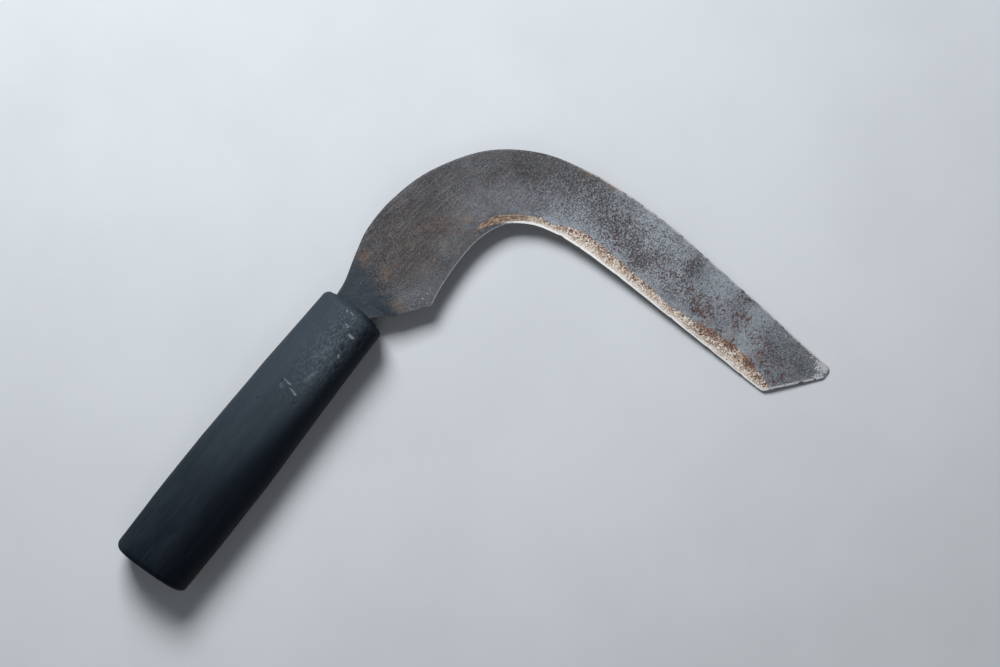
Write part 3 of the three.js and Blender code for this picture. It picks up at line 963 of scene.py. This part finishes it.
def blade_steel():
    """Forged steel with a brown to blue-grey patina, rust, and a whetted bevel."""
    g = Graph("blade_steel")
    place = g.place()
    upper, warm, gritty = map(g.value, ("upper", "warm", "gritty"))
    band, edge, spine, tip = map(g.value, ("band_mm", "edge_mm", "spine_mm", "tip_mm"))

    broad = g.noise(place, 0.09, 4, 0.6)
    blotch = g.noise(place, 0.3, 5, 0.7, 0.6)
    grain = g.noise(place, 1.5, 7, 0.8)
    fine = g.noise(place, 2.4, 4, 0.7)
    flecks = g.noise(place, 1.5, 3, 0.6, 0.5)
    turned = g.node("Mapping", {0: place, 2: (0, 0, -0.2), 3: (12, 0.45, 1)}, vector_type="TEXTURE")
    streak = g.noise(turned.outputs[0], 1.0, 4, 0.6, 0.2)
    strop = g.node("CombineXYZ", {0: g.times(g.value("along_mm"), 0.3), 1: g.times(edge, 2.2)})
    whetted = g.noise(strop.outputs[0], 1.0, 5, 0.7)

    # Scale and patina.
    shade = g.sway(g.less(g.value("light"), g.value("dark")), broad, 1.6)
    shade = g.step(g.sway(shade, blotch, 1.3), -0.9, 0.9)
    blue = g.mix(shade, tone(80, 82, 86), tone(146, 152, 159))
    grey = g.mix(shade, tone(46, 47, 50), tone(95, 97, 102))
    patina = g.mix(warm, blue, grey)
    ruddy = g.step(g.noise(place, 0.4, 6, 0.75), 0.46, 0.62)
    ruddy = g.times(ruddy, g.level(g.either(warm, gritty), 0.15, 0.5))
    ruddy = g.times(ruddy, g.step(g.value("paint_mm"), -1.0, -12.0))
    patina = g.mix(ruddy, patina, tone(92, 76, 72))
    scratched = g.times(g.level(g.value("scratched"), 0.2, 0.55), warm)
    patina = g.coat(patina, g.step(streak, 0.54, 0.64), scratched, tone(122, 118, 120))
    patina = g.coat(patina, g.step(streak, 0.44, 0.36), scratched, tone(52, 49, 52))

    # Grain.
    pale = g.times(g.step(grain, 0.52, 0.58), g.level(gritty, 0.4, 0.62))
    patina = g.mix(pale, patina, g.mix(warm, tone(176, 180, 186), tone(122, 122, 126)))
    dark = g.step(g.less(grain, g.level(gritty, 0.46, 0.49)), 0.0, -0.04)
    patina = g.coat(patina, dark, g.level(gritty, 0.75, 0.95), tone(42, 38, 39))

    stain = g.times(g.value("orange"), g.step(g.noise(place, 0.8, 5, 0.75), 0.42, 0.56))
    patina = g.coat(patina, stain, 0.55, tone(124, 98, 76))

    # Bluer and cleaner steel beside the bevel.
    near = g.times(g.step(band, -3.5, -0.8), upper)
    near = g.times(near, g.step(g.noise(place, 0.4, 4, 0.7), 0.42, 0.58))
    near = g.times(near, g.step(warm, 0.75, 0.3))
    patina = g.coat(patina, near, 0.75, tone(148, 156, 165))

    # Rust in small bitten specks that run together.
    biting = g.noise(place, 0.85, 5, 0.7, 0.5)
    crowd = g.sway(g.value("rust"), g.noise(place, 0.22, 3, 0.6), 1.1)
    rusty = g.step(g.less(biting, g.span(crowd, 0.2, 1.0, 0.63, 0.49)), 0.0, 0.035)
    rusty = g.either(rusty, g.times(g.step(g.value("speck"), 0.4, 0.7), g.step(fine, 0.4, 0.55)))
    rust_tone = g.mix(g.step(fine, 0.42, 0.6), tone(60, 36, 33), tone(108, 66, 54))
    patina = g.coat(patina, rusty, 0.9, rust_tone)

    # Paint that ran on to the neck.
    painted = g.step(g.sway(g.value("paint_mm"), blotch, 12), -5.0, 3.0)
    painted = g.times(painted, g.span(grain, 0.4, 0.62, 0.97, 0.72))
    patina = g.mix(painted, patina, tone(24, 37, 48))

    # Ground bevel.
    ragged = g.sway(band, g.noise(place, 0.9, 5, 0.75), 3.2)
    bevel = g.times(g.step(ragged, -0.1, 0.4), g.step(upper, 0.3, 0.7))
    dark_edge = g.value("dark_edge_mm")
    off_edge = g.sway(g.less(edge, dark_edge), grain, 2.5)
    bevel = g.times(bevel, g.either(g.step(off_edge, -0.3, 0.3), g.step(dark_edge, 0.05, 0.0)))
    patches = g.step(g.sway(g.noise(place, 0.8, 6, 0.85), blotch, 0.5), 0.44, 0.56)
    bare = g.mix(patches, tone(246, 236, 225), tone(192, 165, 142))
    bend = g.step(warm, 0.35, 0.65)
    bare = g.mix(bend, bare, g.mix(g.step(whetted, 0.44, 0.54), tone(196, 172, 150), tone(112, 88, 74)))
    pits = g.noise(place, 1.35, 5, 0.75)
    orange = g.times(g.times(g.value("orange"), g.step(ragged, 3.5, 0.5)), g.step(pits, 0.46, 0.54))
    bare = g.mix(orange, bare, tone(160, 98, 62))
    pit_level = g.add(g.span(edge, 0.6, 4.5, 0.435, 0.5), g.times(g.value("rust"), 0.08))
    pitted = g.step(g.less(pits, pit_level), 0.0, -0.03)
    pit_tone = g.mix(g.step(fine, 0.42, 0.58), tone(44, 33, 31), tone(116, 72, 52))
    bare = g.coat(bare, pitted, g.level(bend, 0.95, 0.4), pit_tone)
    keen = g.times(g.step(edge, 2.4, 0.7), g.step(whetted, 0.42, 0.56))
    bare = g.coat(bare, keen, g.level(bend, 1.0, 0.1), tone(236, 230, 222))
    # The very edge: bare steel, near-white and not metallic, partly a painted highlight of its glint.
    keen_edge = g.add(g.add(edge, fine), g.span(g.value("along_mm"), 215, 330, -0.5, 0.05))
    keen_line_glint = g.times(g.step(keen_edge, 1.15, 0.75), g.step(band, 0.6, 1.6))
    keen_line_glint = g.times(keen_line_glint, g.step(warm, 0.9, 0.65))
    bare = g.mix(keen_line_glint, bare, tone(255, 252, 248))
    surface = g.mix(bevel, patina, bare)

    # Rims: painted shade on the walls and underside along the heel and bend, rubbed bright elsewhere.
    wall = g.times(g.step(upper, 0.97, 0.8), g.step(warm, 0.3, 0.8))
    surface = g.coat(surface, wall, 0.7, tone(44, 44, 47))
    cool = g.step(warm, 0.6, 0.2)
    # The spine's rubbed rim: real wear, its bright line partly a painted highlight.
    spine_wear_glint = g.times(g.times(g.step(spine, 0.75, 0.45), cool), g.step(blotch, 0.42, 0.5))
    blunt_line = g.times(g.step(edge, 0.7, 0.35), g.step(g.value("along_mm"), 139, 144))
    tip_wear = g.step(g.sway(tip, fine, 3.0), 1.3, 0.9)
    worn = g.either(g.either(spine_wear_glint, g.times(blunt_line, 0.45)), tip_wear)
    worn = g.times(worn, g.step(g.add(fine, g.times(grain, 0.6)), 0.64, 0.76))
    scoured = g.step(g.add(flecks, g.times(g.value("scoured"), 0.35)), 0.71, 0.8)
    worn = g.times(g.either(worn, scoured), upper)
    on_spine = g.times(g.step(spine, 1.2, 0.9), g.step(tip, 2.0, 3.0))
    worn_tone = g.mix(on_spine, tone(206, 207, 209), tone(205, 192, 186))
    surface = g.coat(surface, worn, 0.85, worn_tone)
    nicks = g.times(g.step(tip, 1.1, 0.5), g.step(g.noise(place, 0.55, 3, 0.6), 0.49, 0.54))
    surface = g.coat(surface, nicks, 0.9, tone(70, 46, 42))

    bright = g.either(bevel, worn)
    rough = g.level(bright, g.span(grain, 0.3, 0.7, 0.66, 0.48), g.span(fine, 0.3, 0.7, 0.55, 0.38))
    rough = g.level(rusty, rough, 0.85)
    metal = g.level(bright, 0.3, 0.22)
    metal = g.times(metal, g.level(g.either(rusty, painted), 1.0, 0.15))
    metal = g.times(metal, g.level(g.times(keen_line_glint, bevel), 1.0, 0.0))
    normal = g.bump(grain, 0.12)
    normal = g.bump(fine, 0.04, normal)
    normal = g.bump(rusty, -0.06, normal)
    return g.finish(Base_Color=surface, Roughness=rough, Metallic=metal, Normal=normal)


def brushed_paint(g, place):
    """The grip's blue-black paint, with painted shade: its colour and the height of its brush strokes.
    """
    strokes = g.noise(g.stretch(place, 0.05, 0.8, 0.8), 1.0, 5, 0.6)
    broad = g.noise(g.stretch(place, 0.03, 0.09, 0.09), 1.0, 4, 0.65)
    parts = g.node("SeparateXYZ", {0: place}).outputs
    # Painted shade: the paint goes darker towards the butt.
    paint = g.mix(g.step(parts[0], -10.0, 125.0), tone(4, 14, 23), tone(51, 59, 67))
    paint = g.coat(paint, g.step(broad, 0.4, 0.65), 0.2, tone(58, 66, 75))
    paint = g.coat(paint, g.step(strokes, 0.5, 0.7), 0.1, tone(70, 78, 87))
    paint = g.coat(paint, g.step(strokes, 0.46, 0.34), 0.15, tone(14, 20, 27))
    # Painted shade: darker on the grip's right side and underside, the more so towards the butt.
    side_shade = g.add(g.add(parts[2], g.times(parts[1], 0.9)), g.span(parts[0], 40, 100, -7.5, 0))
    paint = g.coat(paint, g.step(side_shade, 11.5, -0.5), 0.85, tone(3, 10, 18))
    from_butt = g.add(g.less(parts[0], BUTT_X), g.times(parts[1], BUTT_SLANT))
    butt = g.times(g.step(from_butt, 0.9, 0.1), g.step(strokes, 0.4, 0.6))
    return g.coat(paint, butt, 0.6, tone(74, 78, 82)), strokes


def painted_wood():
    """Blue-black paint, brushed on along the grip, darker on its right side and underside as painted
    shade, rubbed and chipped.
    """
    g = Graph("painted_wood")
    place = g.place()
    paint, strokes = brushed_paint(g, place)
    grain = g.noise(place, 0.9, 6, 0.72)
    smear = g.noise(g.stretch(place, 0.6, 1.2, 1.2), 1.0, 6, 0.75, 0.4)
    fine = g.noise(place, 3.2, 3, 0.6)
    rubbed = g.times(g.value("scuff"), g.step(smear, 0.42, 0.64))
    streaks = g.times(g.step(g.value("rub_mm"), 1.3, -0.2), g.step(grain, 0.38, 0.55))
    rubbed = g.either(g.times(rubbed, 0.52), g.times(streaks, 0.5))
    paint = g.mix(rubbed, paint, tone(108, 116, 123))
    chipped = g.step(g.sway(g.value("chip_mm"), fine, 1.5), 0.2, -0.2)
    paint = g.coat(paint, chipped, 0.7, tone(142, 149, 154))
    # Painted shade: the dents darkened inside.
    dent_shade = g.step(g.sway(g.value("dent_mm"), fine, 2.0), 0.5, -0.3)
    paint = g.coat(paint, dent_shade, 0.6, tone(10, 14, 20))
    rough = g.level(rubbed, g.span(strokes, 0.3, 0.7, 0.58, 0.72), 0.85)
    rough = g.level(chipped, rough, 0.8)
    normal = g.bump(strokes, 0.03)
    normal = g.bump(grain, 0.06, normal)
    normal = g.bump(smear, 0.05, normal)
    normal = g.bump(chipped, -0.05, normal)
    return g.finish(Base_Color=paint, Roughness=rough, Specular_IOR_Level=0.1, Normal=normal)


def set_pitch():
    g = Graph("set_pitch")
    place = g.place()
    lumps = g.noise(place, 0.7, 4, 0.6)
    dust = g.noise(place, 2.2, 4, 0.7)
    colour = g.mix(g.step(dust, 0.5, 0.72), tone(24, 20, 17), tone(64, 58, 52))
    rough = g.span(dust, 0.3, 0.7, 0.4, 0.85)
    normal = g.bump(lumps, 0.3)
    return g.finish(Base_Color=colour, Roughness=rough, Normal=g.bump(dust, 0.05, normal))


def pin_steel():
    """Plain steel, under paint at both hammered ends."""
    g = Graph("pin_steel")
    place = g.place()
    height = g.node("SeparateXYZ", {0: place}).outputs[2]
    end = g.step(g.math("ABSOLUTE", height), 9.5, 10.5)
    grain = g.noise(place, 1.4, 5, 0.7)
    steel = g.mix(g.step(grain, 0.4, 0.65), tone(84, 82, 80), tone(122, 120, 118))
    paint = brushed_paint(g, place)[0]
    paint = g.coat(paint, g.step(grain, 0.42, 0.6), 0.35, tone(108, 116, 123))
    colour = g.mix(end, steel, paint)
    rough = g.level(end, 0.45, 0.68)
    metal = g.level(end, 0.9, 0.0)
    gloss = g.level(end, 0.5, 0.1)
    normal = g.bump(grain, 0.06)
    return g.finish(
        Base_Color=colour, Roughness=rough, Metallic=metal, Specular_IOR_Level=gloss, Normal=normal
    )


def pale_floor():
    g = Graph("pale_floor")
    place = g.node("NewGeometry", {}).outputs["Position"]
    cloud = g.noise(place, 9, 4, 0.6)
    colour = g.mix(g.step(cloud, 0.3, 0.7), tone(196, 199, 202), tone(202, 205, 208))
    return g.finish(Base_Color=colour, Roughness=0.9)


# ---- Stage ----

PICTURE_CENTRE = (0.6777, 0.6239)  # where the camera looks, as shares of the object's box
CAMERA_HEIGHT = 1.0047
CAMERA_TURN = -51.67  # degrees; the picture's right-hand side, from the row's +X
NEAR_CLIP = 0.05
LENS = 85  # millimetres
FLOOR_SIZE = 6


def make_floor():
    half = FLOOR_SIZE / 2
    corners = [(-half, -half, 0), (half, -half, 0), (half, half, 0), (-half, half, 0)]
    mesh = bpy.data.meshes.new("floor")
    mesh.from_pydata(corners, [], [(0, 1, 2, 3)])
    mesh.materials.append(pale_floor())
    floor = add_object("floor", mesh)


def make_camera():
    low, high = cad_bounds
    data = bpy.data.cameras.new("camera")
    data.lens = LENS
    data.clip_start = NEAR_CLIP
    camera = add_object("camera", data)
    camera.location = (
        low.x + (high.x - low.x) * PICTURE_CENTRE[0],
        low.y + (high.y - low.y) * PICTURE_CENTRE[1],
        CAMERA_HEIGHT,
    )
    camera.rotation_euler = (0, 0, math.radians(CAMERA_TURN))
    bpy.context.scene.camera = camera
    return camera


def add_light(name, target, direction, distance, size, power, colour=(1, 1, 1)):
    """A square soft light that shines on target from a direction."""
    data = bpy.data.lights.new(name, "AREA")
    data.size = size
    data.energy = power
    data.color = colour
    light = add_object(name, data)
    direction = Vector(direction).normalized()
    light.location = Vector(target) + direction * distance
    light.rotation_mode = "QUATERNION"
    light.rotation_quaternion = direction.to_track_quat("Z", "Y")


def picture_direction(right, up, out):
    """A row-frame direction from one told in the picture: to the right, up, and to the viewer."""
    turn = math.radians(CAMERA_TURN)
    across = Vector((math.cos(turn), math.sin(turn), 0))
    upward = Vector((-math.sin(turn), math.cos(turn), 0))
    return across * right + upward * up + Vector((0, 0, out))


def make_lights(camera):
    target = (camera.location.x, camera.location.y, 0)
    above = picture_direction(-0.25, 0.72, 0.9)
    below = picture_direction(0, -0.54, 1.1)
    add_light("key", target, above, distance=0.85, size=0.34, power=9, colour=(0.95, 0.98, 1))
    add_light("edge", target, below, distance=1.2, size=0.45, power=0.7)
    world = bpy.data.worlds.new("studio")
    world.use_nodes = True
    back = world.node_tree.nodes["Background"]
    back.inputs["Color"].default_value = tone(222, 228, 235)
    back.inputs["Strength"].default_value = 0.16
    bpy.context.scene.world = world
    bpy.context.scene.view_settings.view_transform = "Standard"


# ---- The sickle on its floor ----

make_floor()
make_lights(make_camera())
finish_piece(blade_mesh(), "blade", blade_steel())
finish_piece(grip_mesh(), "handle", painted_wood())
finish_piece(bedding_mesh(), "tang_bedding", set_pitch())
finish_piece(pin_mesh(), "tang_pin", pin_steel())
